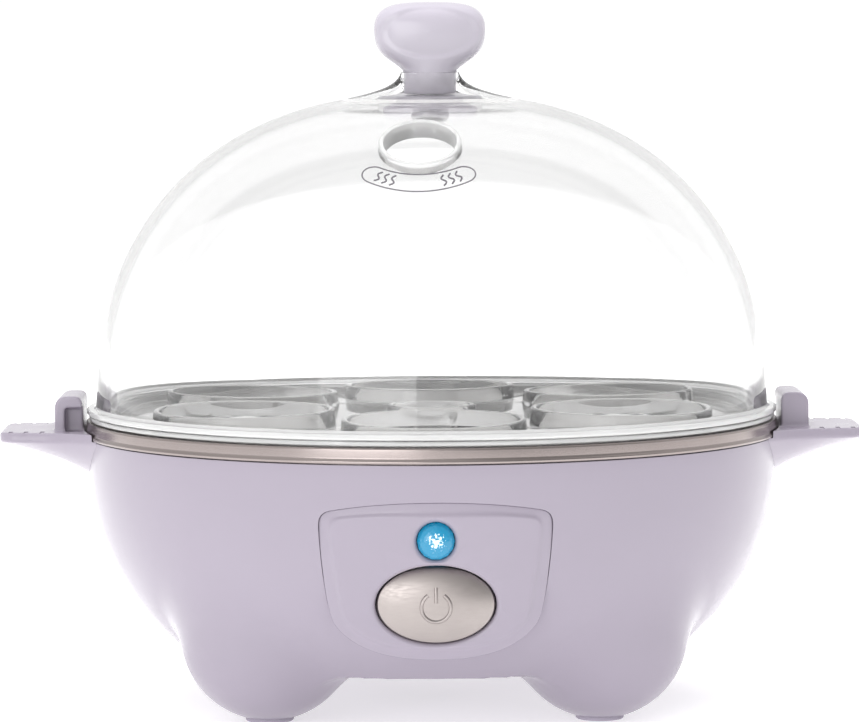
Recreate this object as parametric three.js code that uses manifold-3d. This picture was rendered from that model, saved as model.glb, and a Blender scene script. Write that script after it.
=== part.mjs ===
// Electric egg cooker for six eggs: a moulded bowl on four legs, a steel heating dish,
// a clear egg tray, a clear dome lid with a paddle knob, and a push-button control panel.
// Millimetres. The origin is on the table under the centre, the front faces -Y, up is +Z.
import * as THREE from "three";
import { mergeVertices } from "three/addons/utils/BufferGeometryUtils.js";
import Module from "manifold-3d";

const wasm = await Module();
wasm.setup();

// ---------------------------------------------------------------- driving dimensions
const GAP = 0.3; // clearance between neighbouring pieces
const FINE = 36; // sides of the large round pieces
const ROUND = 12; // sides of the small round pieces

const RIM = { radius: 73.5, height: 56.5, band: 3.2 }; // steel rim band and its lower edge
const BOWL = { radius: 72.9, floor: 10.8, wall: 2.5, top: RIM.height - GAP };
const LEG = { radius: 18.3, offset: 34, sole: 0.9, floor: 5.1 };
const FOOT = { radius: 5, height: 2.8 };
const SHELF = { opening: 21, cover: 28.7, screws: 25 }; // underside cover and its screw circle
const DISH = { flat: 50, wall: 68.8, bottom: -8, sheet: 1 }; // heights below are from the rim
const TRAY = { deck: 68.5, rim: 72.6, holes: 45, holeRadius: 17.3, collar: 1.3 };
const LID = { radius: 71, flange: 73, base: 5.4, rise: 66.6, power: 2.27, wall: 2 };
const VENT = { reach: 44, height: 61.5, tilt: 32, bore: 7, collar: 8.4, proud: 1.7 };
const KNOB = { neck: 5.6, neckLow: 70.6, width: 23.6, depth: 12, top: 91 };
const WASHER = { radius: 11, low: 68.4, high: 70.3, bore: 2.3 };
const PANEL = { width: 46.5, top: 48.8, bottom: 16.5, seat: 1.3, skin: 2 };
const BUTTON = { height: 28.1, halfWidth: 11.85, halfHeight: 7.8, face: -69.4 };
const LENS = { height: 41.1, radius: 3.8 };
const BOARD = { front: -50, thickness: 1.6, halfWidth: 21, bottom: 18, top: 46 };
const HANDLE = { root: 68, tip: 91, halfWidth: 13, top: 1.2 };
const POST = { outer: 79.6, top: 8.6, halfWidth: 9, pocketFloor: 5, pocketTop: 5.8 };
const HOLD = { radius: 44, angles: [0, 90, 180] }; // long screws that hold the dish down
const GLAND = { height: 33, face: 70, bore: 3.3, barrel: 6, flange: 8.6 };
const ELEMENT = { radius: 33, tube: 3.3, gapAngle: 40 };
const SMALL_HOLE = 1.5; // clearance hole of the small screws
const HOLD_HOLE = 1.9; // clearance hole of the long screws and sockets of the pegs

// ---------------------------------------------------------------- finishes
const FINISH = {
  lilac: { color: 0xc9c0d2, roughness: 0.25, metalness: 0 },
  clear: { color: 0xf4f6f8, roughness: 0.05, metalness: 0, transparent: true, opacity: 0.35 },
  steel: { color: 0xb9b4ae, roughness: 0.3, metalness: 1 },
  satin: { color: 0xd3ccca, roughness: 0.35, metalness: 1 },
  zinc: { color: 0xa8aaad, roughness: 0.4, metalness: 1 },
  rubber: { color: 0xb5acbf, roughness: 0.8, metalness: 0 },
  silicone: { color: 0xe8e6e4, roughness: 0.6, metalness: 0 },
  blue: { color: 0x34aed4, roughness: 0.1, metalness: 0 },
  black: { color: 0x222226, roughness: 0.5, metalness: 0 },
  board: { color: 0x2c6b42, roughness: 0.5, metalness: 0 },
  ceramic: { color: 0xe6e0d2, roughness: 0.6, metalness: 0 },
};

// ---------------------------------------------------------------- solids
const { PI, cos, sin, sqrt, min, max } = Math;
const radians = THREE.MathUtils.degToRad;

function manifoldOf(vertProperties, triVerts) {
  return new wasm.Manifold(new wasm.Mesh({ numProp: 3, vertProperties, triVerts }));
}

// A closed geometry as a solid with its faces pointing out, ready to be joined and cut.
function solid(geometry) {
  const bare = new THREE.BufferGeometry();
  bare.setAttribute("position", geometry.getAttribute("position"));
  bare.setIndex(geometry.getIndex());
  const merged = mergeVertices(bare, 1e-3);
  const index = merged.getIndex().array;
  const kept = [];
  for (let i = 0; i < index.length; i += 3) {
    const [a, b, c] = index.slice(i, i + 3);
    if (a !== b && b !== c && c !== a) kept.push(a, b, c);
  }
  const points = merged.getAttribute("position").array;
  const made = manifoldOf(points, new Uint32Array(kept));
  return made.volume() > 0 ? made : manifoldOf(points, new Uint32Array(kept.reverse()));
}

const join = (...solids) => solids.reduce((whole, part) => whole.add(part));
const cut = (body, ...tools) => tools.reduce((rest, tool) => rest.subtract(tool), body);

// Turns an outline of [radius, height] points about Z. A ring's outline closes on itself.
function turned(outline, segments = FINE, [x, y, z] = [0, 0, 0]) {
  const closed = outline[0][0] > 0 ? [...outline, outline[0]] : outline;
  const points = closed.map(([radius, height]) => new THREE.Vector2(radius, height));
  return solid(new THREE.LatheGeometry(points, segments).rotateX(PI / 2).translate(x, y, z));
}

// A round bar between two [x, y, z] points.
function rod(radius, from, to, segments = ROUND) {
  const [start, end] = [from, to].map((point) => new THREE.Vector3(...point));
  const along = end.clone().sub(start);
  const bar = new THREE.CylinderGeometry(radius, radius, along.length(), segments);
  const up = new THREE.Vector3(0, 1, 0);
  bar.applyQuaternion(new THREE.Quaternion().setFromUnitVectors(up, along.normalize()));
  const middle = start.add(end).multiplyScalar(0.5);
  return solid(bar.translate(middle.x, middle.y, middle.z));
}

const upright = (radius, x, y, low, high, segments) =>
  rod(radius, [x, y, low], [x, y, high], segments);

// A box between its lowest and highest corners.
function block(low, high) {
  const [width, depth, height] = high.map((value, i) => value - low[i]);
  const box = new THREE.BoxGeometry(width, depth, height);
  return solid(box.translate(...high.map((value, i) => (value + low[i]) / 2)));
}

// An outline drawn in the upright XZ plane, running from y = near to y = far.
function upstanding(shape, near, far, curveSegments = 4) {
  const extruded = new THREE.ExtrudeGeometry(shape, {
    depth: far - near,
    bevelEnabled: false,
    curveSegments,
  });
  return solid(extruded.rotateX(PI / 2).translate(0, far, 0));
}

// Rows of points joined into one closed skin, with a fan over each end row.
function lofted(rows) {
  const count = rows[0].length;
  const points = rows.flat();
  const faces = [];
  for (let row = 0; row + 1 < rows.length; row++)
    for (let i = 0; i < count; i++) {
      const next = (i + 1) % count;
      const [a, b] = [row * count + i, row * count + next];
      faces.push(a, b, b + count, a, b + count, a + count);
    }
  [0, rows.length - 1].forEach((row) => {
    const middle = new THREE.Vector3();
    rows[row].forEach((point) => middle.addScaledVector(point, 1 / count));
    points.push(middle);
    for (let i = 0; i < count; i++) {
      const [a, b] = [row * count + i, row * count + ((i + 1) % count)];
      faces.push(...(row === 0 ? [b, a] : [a, b]), points.length - 1);
    }
  });
  const skin = new THREE.BufferGeometry().setFromPoints(points);
  skin.setIndex(faces);
  return solid(skin);
}

// ---------------------------------------------------------------- outlines
// Points along a cubic curve in the [radius, height] plane.
function bend(from, pullA, pullB, to, steps) {
  const ends = [from, pullA, pullB, to].map((point) => new THREE.Vector2(...point));
  return new THREE.CubicBezierCurve(...ends).getPoints(steps).map(({ x, y }) => [x, y]);
}

// Points along an arc, angles in degrees from the radius direction.
function arc(centre, radius, first, last, steps) {
  return Array.from({ length: steps + 1 }, (_, i) => {
    const angle = radians(first + ((last - first) * i) / steps);
    return [centre[0] + radius * cos(angle), centre[1] + radius * sin(angle)];
  });
}

// The bowl's side, set in from its outer skin by inset, from the floor up to the top.
function bowlSide(inset, top) {
  const side = BOWL.radius - inset;
  const low = [61 - 0.75 * inset, 18.8 + 0.75 * inset];
  const corner = [52.3 - 0.25 * inset, BOWL.floor + inset];
  return bend(corner, low, [side, 28.6], [side, top], 7);
}

const bowl = (inset, top = BOWL.top, lift = 0) =>
  turned([[0, BOWL.floor + inset], ...bowlSide(inset, top), [0, top]], FINE, [0, 0, lift]);

// ---------------------------------------------------------------- groups
const cooker = new THREE.Group();
const base = new THREE.Group();
const button = new THREE.Group();
const tray = new THREE.Group();
const lid = new THREE.Group();
cooker.add(base, button, tray, lid);

function piece(group, name, shape, finish) {
  const { vertProperties, triVerts } = shape.getMesh();
  const geometry = new THREE.BufferGeometry();
  geometry.setAttribute("position", new THREE.BufferAttribute(vertProperties, 3));
  geometry.setIndex(new THREE.BufferAttribute(triVerts, 1));
  geometry.computeVertexNormals();
  const mesh = new THREE.Mesh(geometry, new THREE.MeshStandardMaterial(FINISH[finish]));
  mesh.name = name;
  group.add(mesh);
  return mesh;
}

// Pieces that are measured from the rim's lower edge hang in groups lifted to it.
function atRim(parent) {
  const raised = new THREE.Group();
  raised.position.z = RIM.height;
  parent.add(raised);
  return raised;
}

// A pan-head screw that points up, with its head's top face at the origin.
const screw = (shank, length, head, thickness) =>
  join(upright(head, 0, 0, -thickness, 0.05, 12), upright(shank, 0, 0, 0, length, 8));

// Places around the axis, as [x, y] at a radius and an angle in degrees.
const around = (radius, angle) => [radius * cos(radians(angle)), radius * sin(radians(angle))];

const LEGS = [45, 135, 225, 315].map((angle) => around(LEG.offset * Math.SQRT2, angle));
const COVER_SCREWS = [90, 210, 330].map((angle) => around(SHELF.screws, angle));
const HOLD_SCREWS = HOLD.angles.map((angle) => around(HOLD.radius, angle));
const BOARD_SCREWS = [-17, 17].map((x) => [x, 38]); // [x, z]
const PANEL_PEGS = [-15, 15].map((x) => [x, 21]); // [x, z]
const HANDLE_PEGS = [-8, 8]; // y of each handle's pegs
const PEG = { radius: 1.6, height: RIM.height - 3.5, panelEnd: -55.5 };

// ---------------------------------------------------------------- control panel outlines
// The shield: a gently arched top, sides that lean out to blunt shoulders, a bowed foot.
function shield(grow) {
  const half = PANEL.width / 2 + grow;
  const [top, bottom] = [PANEL.top + grow, PANEL.bottom - grow];
  const shape = new THREE.Shape();
  shape.moveTo(0, bottom);
  shape.bezierCurveTo(half * 0.42, bottom, half * 0.7, bottom + 2, half * 0.86, bottom + 6.8);
  shape.bezierCurveTo(half * 0.95, bottom + 9, half, top - 7, half, top - 5);
  shape.bezierCurveTo(half, top - 2.5, half * 0.95, top - 2, half * 0.88, top - 1.7);
  shape.bezierCurveTo(half * 0.6, top - 0.5, half * 0.3, top, 0, top);
  shape.bezierCurveTo(-half * 0.3, top, -half * 0.6, top - 0.5, -half * 0.88, top - 1.7);
  shape.bezierCurveTo(-half * 0.95, top - 2, -half, top - 2.5, -half, top - 5);
  shape.bezierCurveTo(-half, top - 7, -half * 0.95, bottom + 9, -half * 0.86, bottom + 6.8);
  shape.bezierCurveTo(-half * 0.7, bottom + 2, -half * 0.42, bottom, 0, bottom);
  return shape;
}

// The panel's face leans in less than the bowl does, so it stands proud at its foot.
function panelBlank(inset) {
  const face = bend([64.6, 13], [68, 22], [71.6, 34], [73.2, 52], 8);
  const side = face.map(([radius, height]) => [radius - inset, height]);
  return turned([[0, 13], ...side, [0, 52]]);
}

function oval(grow) {
  const shape = new THREE.Shape();
  const [wide, high] = [BUTTON.halfWidth + grow, BUTTON.halfHeight + grow];
  shape.absellipse(0, BUTTON.height, wide, high, 0, 2 * PI);
  return new THREE.Shape(shape.getPoints(12));
}

const WELL = { play: 0.6, wall: 1.4, back: -58.5 }; // room round the button and its collar
const FRONT = -80; // ahead of everything

// ---------------------------------------------------------------- base housing
function legs(inset, sole, sides) {
  const [reach, centre, top] = [LEG.radius - inset, LEG.radius + 0.1, 34];
  const start = -(Math.asin((centre - sole) / reach) * 180) / PI;
  const outline = [[0, sole], ...arc([0, centre], reach, start, 0, 4), [reach, top], [0, top]];
  return LEGS.map(([x, y]) => turned(outline, sides, [x, y, 0]));
}

function housing() {
  const outer = join(bowl(0), ...legs(0, LEG.sole, 18));
  const inner = join(bowl(BOWL.wall, BOWL.top + 1), ...legs(BOWL.wall, LEG.floor, 12));

  const ledgeTop = 15.6;
  const ledge = upright(SHELF.cover + 2.5, 0, 0, BOWL.floor + 1, ledgeTop, FINE);
  const coverBosses = COVER_SCREWS.map(([x, y]) => upright(3.4, x, y, 12, 21));
  const holdBosses = HOLD_SCREWS.flatMap(([x, y]) => [
    upright(6, x, y, 12, 17),
    upright(4.5, x, y, 12, 37.7),
  ]);
  const boardBosses = BOARD_SCREWS.map(([x, z]) => rod(3, [x, -71, z], [x, BOARD.front - GAP, z]));
  const glandPad = rod(9.5, [0, 60, GLAND.height], [0, GLAND.face, GLAND.height], 20);
  const fittings = join(ledge, ...coverBosses, ...holdBosses, ...boardBosses);
  const shell = join(cut(outer, inner), fittings.intersect(outer), glandPad);

  const seat = cut(upstanding(shield(GAP), FRONT, -50), bowl(PANEL.seat, 60));
  const well = upstanding(oval(WELL.play + WELL.wall + GAP), FRONT, -48);
  const lensHole = rod(LENS.radius, [0, FRONT, LENS.height], [0, -60, LENS.height]);
  const lowest = BOWL.floor - 1;
  return cut(
    shell,
    seat,
    well,
    lensHole,
    upright(SHELF.opening, 0, 0, lowest, 20, FINE),
    upright(SHELF.cover + GAP, 0, 0, lowest, 12.9, FINE),
    ...COVER_SCREWS.map(([x, y]) => upright(SMALL_HOLE, x, y, lowest, 19.6)),
    ...HOLD_SCREWS.map(([x, y]) => upright(HOLD_HOLE, x, y, lowest, 40)),
    ...HOLD_SCREWS.map(([x, y]) => upright(4, x, y, lowest, 14.2)),
    ...LEGS.map(([x, y]) => upright(FOOT.radius + GAP, x, y, 0, FOOT.height + GAP)),
    ...BOARD_SCREWS.map(([x, z]) => rod(SMALL_HOLE, [x, -60, z], [x, -45, z])),
    ...PANEL_PEGS.map(([x, z]) => rod(HOLD_HOLE, [x, FRONT, z], [x, -50, z])),
    rod(GLAND.barrel + GAP, [0, 55, GLAND.height], [0, 75, GLAND.height], 16),
    rod(GLAND.flange + GAP, [0, GLAND.face, GLAND.height], [0, 80, GLAND.height], 16),
    ...HANDLE_PEGS.map((y) => rod(HOLD_HOLE, [-80, y, PEG.height], [80, y, PEG.height])),
  );
}
piece(base, "base_housing", housing(), "lilac");

LEGS.forEach(([x, y], i) => {
  const foot = upright(FOOT.radius, 0, 0, 0, FOOT.height);
  piece(base, `rubber_foot_${i + 1}`, foot, "rubber").position.set(x, y, 0);
});

// ---------------------------------------------------------------- underside cover
function cover() {
  const plateTop = 12.6;
  const spigotTop = 16;
  const spigot = SHELF.opening - GAP;
  const disc = turned([
    [0, BOWL.floor],
    [SHELF.cover, BOWL.floor],
    [SHELF.cover, plateTop],
    [spigot, plateTop],
    [spigot, spigotTop],
    [spigot - 2, spigotTop],
    [spigot - 2, plateTop],
    [0, plateTop],
  ]);
  const slots = [-9, -3, 3, 9].map((x) => block([x - 1, -8, 0], [x + 1, 8, 20]));
  const holes = COVER_SCREWS.map(([x, y]) => upright(SMALL_HOLE, x, y, 0, 20));
  return cut(disc, ...slots, ...holes);
}
piece(base, "bottom_cover", cover(), "lilac");
COVER_SCREWS.forEach(([x, y], i) => {
  const made = piece(base, `cover_screw_${i + 1}`, screw(1.2, 8.5, 2.8, 1.5), "zinc");
  made.position.set(x, y, BOWL.floor - GAP);
});

// ---------------------------------------------------------------- heating dish and heater
const heater = atRim(base);

function dish() {
  const { flat, wall, bottom, sheet } = DISH;
  const outside = wall + sheet;
  const top = RIM.band;
  const sweepOut = bend([flat, bottom], [62, bottom], [outside, -6.5], [outside, 0], 5);
  const sweepIn = bend([wall, 0], [wall, -5.8], [62, bottom + sheet], [flat, bottom + sheet], 5);
  const pan = turned([
    [0, bottom],
    ...sweepOut,
    [outside, top - sheet],
    [RIM.radius - sheet, top - sheet],
    [RIM.radius - sheet, 0],
    [RIM.radius, 0],
    [RIM.radius, top - 0.7],
    [RIM.radius - 0.7, top],
    [wall + 0.6, top],
    [wall, top - 0.6],
    ...sweepIn,
    [0, bottom + sheet],
  ]);
  const low = -17.4;
  const bushes = HOLD_SCREWS.map(([x, y]) => upright(3.6, x, y, low, bottom + 0.4));
  const bores = HOLD_SCREWS.map(([x, y]) => upright(1.8, x, y, low - 1, bottom - 0.2));
  return cut(join(pan, ...bushes), ...bores);
}
piece(heater, "heating_dish", dish(), "steel");

const gasket = [[70.1, 0], [72.2, 0], [72.2, 1.9], [70.1, 1.9]];
piece(heater, "dish_gasket", turned(gasket), "silicone");

HOLD_SCREWS.forEach(([x, y], i) => {
  const made = piece(base, `dish_screw_${i + 1}`, screw(1.5, 32.6, 3.2, 2.5), "zinc");
  made.position.set(x, y, 13.9);
});

const elementHeight = DISH.bottom - GAP - ELEMENT.tube;
function element() {
  const half = ELEMENT.gapAngle / 2;
  const centre = [0, 0];
  const route = arc(centre, ELEMENT.radius, 90 + half, 450 - half, 24);
  const path = new THREE.CatmullRomCurve3(route.map(([x, y]) => new THREE.Vector3(x, y, 0)));
  const section = new THREE.Shape();
  section.absarc(0, 0, ELEMENT.tube, 0, 2 * PI);
  const sweep = { extrudePath: path, steps: 28, curveSegments: 4 };
  return solid(new THREE.ExtrudeGeometry(section, sweep).translate(0, 0, elementHeight));
}
piece(heater, "heating_element", element(), "zinc");

const terminalTurn = ELEMENT.gapAngle / 2 + 4; // just inside the element's ends
const TERMINALS = [-1, 1].map((side) => around(ELEMENT.radius, 90 + side * terminalTurn));
["right", "left"].forEach((side, i) => {
  const [x, y] = TERMINALS[i];
  const high = elementHeight - ELEMENT.tube - GAP;
  const pin = join(upright(2.6, x, y, high - 3, high), upright(1.2, x, y, high - 9, high));
  piece(heater, `element_terminal_${side}`, pin, "ceramic");
});

const SHIELD = { low: -18.5, high: -17.7, radius: 50, lip: -12.5 };
const BRACKET_SCREWS = [-20, 20]; // x
function heatShield() {
  const { low, high, radius, lip } = SHIELD;
  const pan = turned([
    [0, low],
    [radius, low],
    [radius, lip],
    [radius - 0.8, lip],
    [radius - 0.8, high],
    [0, high],
  ]);
  return cut(
    pan,
    block([-60, -60, -30], [60, -43, 0]),
    upright(11, 0, 0, -30, 0),
    ...HOLD_SCREWS.map(([x, y]) => upright(HOLD_HOLE, x, y, -30, 0)),
    ...TERMINALS.map(([x, y]) => upright(3.4, x, y, -30, 0)),
    ...BRACKET_SCREWS.map((x) => upright(SMALL_HOLE, x, 0, -30, 0)),
  );
}
piece(heater, "heat_shield", heatShield(), "steel");

function thermostatBracket() {
  const strap = new THREE.Shape();
  strap.moveTo(-24, SHIELD.low - GAP);
  [[-15, 0], [-15, -4.6], [15, -4.6], [15, 0], [24, 0]].forEach(([x, drop]) =>
    strap.lineTo(x, SHIELD.low - GAP + drop),
  );
  [[24, -0.8], [15.8, -0.8], [15.8, -5.4], [-15.8, -5.4], [-15.8, -0.8], [-24, -0.8]].forEach(
    ([x, drop]) => strap.lineTo(x, SHIELD.low - GAP + drop),
  );
  const holes = BRACKET_SCREWS.map((x) => upright(SMALL_HOLE, x, 0, -30, 0));
  return cut(upstanding(strap, -5, 5), ...holes);
}
piece(heater, "thermostat_bracket", thermostatBracket(), "zinc");
BRACKET_SCREWS.forEach((x, i) => {
  const side = ["left", "right"][i];
  const made = piece(heater, `bracket_screw_${side}`, screw(1.2, 4.4, 2.6, 1.6), "zinc");
  made.position.set(x, 0, SHIELD.low - 2 * GAP - 0.8);
});

const thermostat = join(
  upright(6, 0, 0, SHIELD.low - 4.4, -12),
  upright(8.5, 0, 0, -14, DISH.bottom - GAP),
);
piece(heater, "thermostat", thermostat, "ceramic");

const fuse = join(
  rod(2.3, [-7, 16, -14.6], [7, 16, -14.6], 16),
  rod(0.6, [-14, 16, -14.6], [14, 16, -14.6], 8),
);
piece(heater, "thermal_fuse", fuse, "ceramic");

// ---------------------------------------------------------------- control panel
function panel() {
  const blank = upstanding(shield(0), FRONT, -50).intersect(panelBlank(0));
  const hollow = upstanding(shield(-PANEL.skin), FRONT, -50).intersect(panelBlank(PANEL.skin));
  const skin = cut(blank, hollow, bowl(PANEL.seat - GAP, 60));
  const collar = upstanding(oval(WELL.play + WELL.wall), FRONT, WELL.back);
  const pegs = PANEL_PEGS.map(([x, z]) => rod(PEG.radius, [x, FRONT, z], [x, PEG.panelEnd, z], 12));
  const inside = join(collar, ...pegs).intersect(panelBlank(0));
  return cut(
    join(skin, inside),
    upstanding(oval(WELL.play), FRONT, -50),
    rod(LENS.radius + GAP, [0, FRONT, LENS.height], [0, -60, LENS.height]),
  );
}
piece(base, "control_panel", panel(), "lilac");

// The lens is a light pipe: a domed face on a stem that reaches back to the lamp.
const lensOutline = [[0, 0], [2.5, 0], [2.5, 15.5], [3.5, 15.5], [3.5, 20.6], [2, 21.6], [0, 21.9]];
const lens = piece(base, "indicator_lens", turned(lensOutline, 16), "blue");
lens.rotation.x = PI / 2;
lens.position.set(0, -51, LENS.height);

const SWITCH = { half: [7, 6], front: -57, travel: 3 };
function board() {
  const { front, thickness, halfWidth, bottom, top } = BOARD;
  const plate = block([-halfWidth, front, bottom], [halfWidth, front + thickness, top]);
  return cut(plate, ...BOARD_SCREWS.map(([x, z]) => rod(SMALL_HOLE, [x, -60, z], [x, -40, z], 16)));
}
piece(base, "control_board", board(), "board");
BOARD_SCREWS.forEach(([x, z], i) => {
  const side = ["left", "right"][i];
  const made = piece(base, `board_screw_${side}`, screw(1.2, 9, 2.6, 1.6), "zinc");
  made.rotation.x = PI / 2;
  made.position.set(x, BOARD.front + BOARD.thickness + GAP, z);
});

const switchBore = block([-2.6, -60, BUTTON.height - 2.6], [2.6, -51.2, BUTTON.height + 2.6]);
const switchBody = block(
  [-SWITCH.half[0], SWITCH.front, BUTTON.height - SWITCH.half[1]],
  [SWITCH.half[0], BOARD.front - GAP, BUTTON.height + SWITCH.half[1]],
);
piece(base, "push_switch", cut(switchBody, switchBore), "black");
const lampBack = BOARD.front - GAP;
const lamp = rod(2.3, [0, lampBack - 0.4, LENS.height], [0, lampBack, LENS.height]);
piece(base, "indicator_lamp", lamp, "blue");
const buzzer = piece(base, "buzzer", rod(4.2, [0, 0, 0], [0, 4.5, 0]), "black");
buzzer.position.set(15.5, BOARD.front - GAP - 4.5, 27);

// ---------------------------------------------------------------- button that travels
function buttonCap() {
  const height = 4.6;
  const crown = [[0, 0], [0.99, 0], [1, 0.6], [1, 2.9], [0.96, 3.4], [0.8, 3.9], [0.5, 4.35], [0, height]];
  const points = crown.map(([radius, height]) => new THREE.Vector2(radius, height));
  const cap = new THREE.LatheGeometry(points, 24);
  cap.scale(BUTTON.halfWidth, 1, BUTTON.halfHeight).rotateX(PI);
  cap.translate(0, BUTTON.face + height, BUTTON.height);
  const stem = rod(2.4, [0, -65.4, BUTTON.height], [0, -61.6, BUTTON.height]);
  return join(solid(cap), stem);
}
piece(button, "power_button", buttonCap(), "satin");
const plunger = block([-2, -61.3, BUTTON.height - 2], [2, -54.6, BUTTON.height + 2]);
piece(button, "switch_plunger", plunger, "ceramic");

function returnSpring() {
  const [coil, wire, turns, steps] = [4.4, 0.45, 4, 40];
  const [front, back] = [-64.2, -57.9];
  const points = Array.from({ length: steps + 1 }, (_, i) => {
    const angle = (2 * PI * turns * i) / steps;
    const along = front + ((back - front) * i) / steps;
    return new THREE.Vector3(coil * cos(angle), along, BUTTON.height + coil * sin(angle));
  });
  const section = new THREE.Shape();
  section.absarc(0, 0, wire, 0, 2 * PI);
  const extrudePath = new THREE.CatmullRomCurve3(points);
  return solid(new THREE.ExtrudeGeometry(section, { extrudePath, steps, curveSegments: 2 }));
}
piece(button, "button_spring", returnSpring(), "zinc");

// ---------------------------------------------------------------- handles
// Height of the wing's keel and half its width, at a distance x from the axis.
function wingAt(x) {
  const { root, tip, halfWidth } = HANDLE;
  const inward = (tip - x) / (tip - root);
  const keel = -1.5 - 0.26 * (tip - x) - 3.6 * inward ** 3;
  const corner = min(max((x - tip + 4) / 4, 0), 1);
  const half = halfWidth + 10 * inward ** 3 - 4 * (1 - sqrt(1 - corner ** 2));
  return { keel, half };
}

function wingRow(x) {
  const { keel, half } = wingAt(x);
  const nearTip = max(x - HANDLE.tip + 1, 0);
  const top = HANDLE.top - 0.7 * nearTip;
  const edge = top - 1.6 + 0.7 * nearTip;
  const under = Array.from({ length: 11 }, (_, i) => {
    const across = -1 + (2 * i) / 10;
    const height = keel + 0.5 * nearTip + (edge - keel - 0.5 * nearTip) * across ** 2;
    return new THREE.Vector3(x, across * half, height);
  });
  return [...under, new THREE.Vector3(x, half - 0.6, top), new THREE.Vector3(x, 0.6 - half, top)];
}

function post() {
  const [inner, { outer, top, halfWidth }] = [RIM.radius + GAP, POST];
  const shape = new THREE.Shape();
  shape.moveTo(inner, -1);
  shape.lineTo(outer, -1);
  shape.lineTo(outer, top - 2.2);
  shape.quadraticCurveTo(outer, top, outer - 2.2, top);
  shape.lineTo(inner + 1.4, top);
  shape.quadraticCurveTo(inner, top, inner, top - 1.4);
  return upstanding(shape, -halfWidth, halfWidth);
}

function handle() {
  const places = [68, 70, 72, 74, 76.5, 79, 82, 85, 87, 88.5, 89.6, 90.4, 91];
  const wing = lofted(places.map(wingRow));
  const pegs = HANDLE_PEGS.map((y) => rod(PEG.radius, [70.1, y, -3.5], [76, y, -3.5], 12));
  const pocket = block([70, POST.pocketFloor, 1], [77.3, POST.halfWidth + 1, POST.pocketTop]);
  const notches = [81.9, 85.3, 88.5].map((x) => block([x - 0.45, -20, 0.8], [x + 0.45, 20, 3]));
  const clearance = join(
    upright(RIM.radius + GAP, 0, 0, -0.6, 20, FINE),
    bowl(-GAP, RIM.height, -RIM.height),
  );
  return join(cut(join(wing, post()), clearance, pocket, ...notches), ...pegs);
}
["handle_right", "handle_left"].forEach((name, i) => {
  const made = piece(atRim(base), name, handle(), "lilac");
  made.rotation.z = i * PI;
});

// ---------------------------------------------------------------- cord gland
const { height: glandHeight, face: padFace, bore, barrel, flange } = GLAND;
const gland = cut(
  join(
    rod(barrel, [0, 55.5, glandHeight], [0, padFace + GAP, glandHeight], 16),
    rod(flange, [0, padFace + GAP, glandHeight], [0, padFace + 2.4, glandHeight], 16),
  ),
  rod(bore, [0, 50, glandHeight], [0, 80, glandHeight], 16),
);
piece(base, "cord_gland", gland, "rubber");
const glandNut = cut(
  rod(flange, [0, 57, glandHeight], [0, 59.7, glandHeight], 6),
  rod(barrel + GAP, [0, 50, glandHeight], [0, 80, glandHeight], 16),
);
piece(base, "gland_nut", glandNut, "zinc");

// ---------------------------------------------------------------- egg tray
function eggTray() {
  const { deck, rim, holes, holeRadius, collar } = TRAY;
  const [low, high, rimLow, rimTop] = [1, 2, RIM.band + GAP, 4.4];
  const disc = turned([
    [0, low],
    [deck, low],
    [deck, rimLow],
    [rim, rimLow],
    [rim, rimTop],
    [deck - 1, rimTop],
    [deck - 1, high],
    [0, high],
  ]);
  const seats = [30, 90, 150, 210, 270, 330].map((angle) => around(holes, angle));
  const collars = seats.map(([x, y]) => upright(holeRadius + collar, x, y, low, 6, 24));
  const bores = seats.map(([x, y]) => upright(holeRadius, x, y, 0, 8, 24));
  const [gripRadius, gripTop] = [8, 4.5];
  const grip = upright(gripRadius + collar, 0, 0, low, gripTop);
  return cut(join(disc, ...collars, grip), ...bores, upright(gripRadius, 0, 0, 0, 8));
}
piece(atRim(tray), "egg_tray", eggTray(), "clear");

// ---------------------------------------------------------------- lid
const raisedLid = atRim(lid);

// The dome's side from its base up to the level where the flare round the knob begins.
function dome(inset, lowest, highest, steps) {
  const [radius, rise] = [LID.radius - inset, LID.rise - inset];
  return Array.from({ length: steps + 1 }, (_, i) => {
    const angle = radians(lowest + ((highest - lowest) * i) / steps);
    const flat = 2 / LID.power;
    return [radius * cos(angle) ** flat, LID.base + rise * sin(angle) ** flat];
  });
}

function domeLid() {
  const [flangeLow, flangeTop] = [4.7, 5.8];
  const [boreRadius, lip] = [KNOB.neck + GAP, 76.2];
  const flare = bend([17.6, 71.1], [11, 71.9], [7.2, 73.2], [boreRadius + 0.4, lip], 4);
  const underFlare = [[7, 71.9], [9, 71.3], [12, 70.2]];
  const shell = turned([
    [LID.radius - LID.wall, flangeLow],
    [LID.flange, flangeLow],
    [LID.flange, flangeTop],
    [LID.radius + 0.4, flangeTop + 0.4],
    ...dome(0, 6, 74, 7),
    ...flare,
    [boreRadius, lip],
    [boreRadius, 72.6],
    ...underFlare,
    ...dome(LID.wall, 6, 80, 6).reverse(),
  ]);
  const tilt = radians(VENT.tilt);
  const along = (reach) => [0, -VENT.reach - reach * sin(tilt), VENT.height + reach * cos(tilt)];
  const collar = rod(VENT.collar, along(-1.2), along(VENT.proud), 20);
  return cut(join(shell, collar), rod(VENT.bore, along(-8), along(8), 20));
}
piece(raisedLid, "lid_dome", domeLid(), "clear");

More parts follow.
